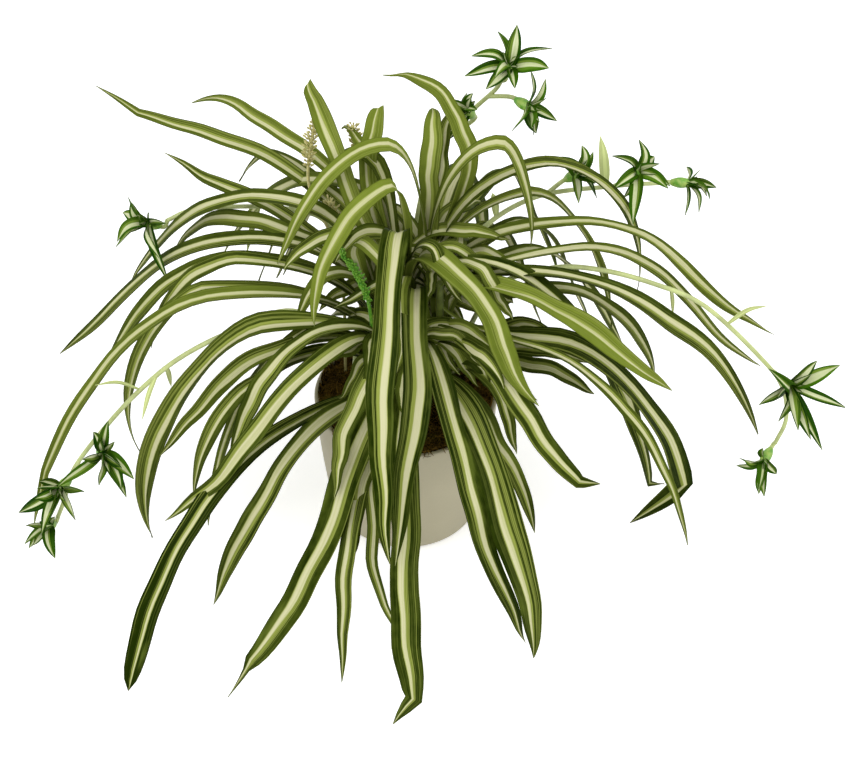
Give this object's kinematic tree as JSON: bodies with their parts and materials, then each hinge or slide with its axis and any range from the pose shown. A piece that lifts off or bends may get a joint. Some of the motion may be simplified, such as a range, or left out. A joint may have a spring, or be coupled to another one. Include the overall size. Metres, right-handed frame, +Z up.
{
  "type": "potted spider plant",
  "caption": "Variegated spider plant with arching strap leaves, runners and plantlets, in a small round off-white pot of soil and moss.",
  "frame": {"origin": "middle of the pot's foot, on the surface it stands on", "axes": "+Z up along the pot's axis, -Y towards the plant's front"},
  "size_m": [0.5399, 0.4371, 0.3229],
  "materials": {
    "pot": "warm off-white, satin",
    "soil": "dark loose potting soil, rough",
    "moss": "dry brown-green moss fibres, rough",
    "leaf": "green leaf with a cream stripe, satin",
    "runner": "pale yellow-green stalk, satin",
    "plantlet": "dark green with white middles, satin",
    "flower": "pale straw-coloured buds, rough"
  },
  "bodies": {
    "root": {"flower_spike_1": "flower", "flower_spike_2": "flower", "flower_spike_3": "flower", "leafy_stem_back": "leaf", "leafy_stem_back_left": "leaf", "leafy_stem_front": "leaf", "leafy_stem_front_left": "leaf", "leafy_stem_front_right": "leaf", "leafy_stem_left": "leaf", "leafy_stem_middle": "leaf", "leafy_stem_right": "leaf", "leafy_stem_right_front": "leaf", "moss": "moss", "plantlet_left_high": "plantlet", "plantlet_left_low_1": "plantlet", "plantlet_left_low_2": "plantlet", "plantlet_left_low_3": "plantlet", "plantlet_right_high_1": "plantlet", "plantlet_right_high_2": "plantlet", "plantlet_right_high_3": "plantlet", "plantlet_right_low_1": "plantlet", "plantlet_right_low_2": "plantlet", "plantlet_top_1": "plantlet", "plantlet_top_2": "plantlet", "plantlet_top_3": "plantlet", "pot": "pot", "runner_left_high": "runner", "runner_left_low": "runner", "runner_right_high": "runner", "runner_right_low": "runner", "runner_top": "runner", "soil": "soil"}
  },
  "joints": []
}
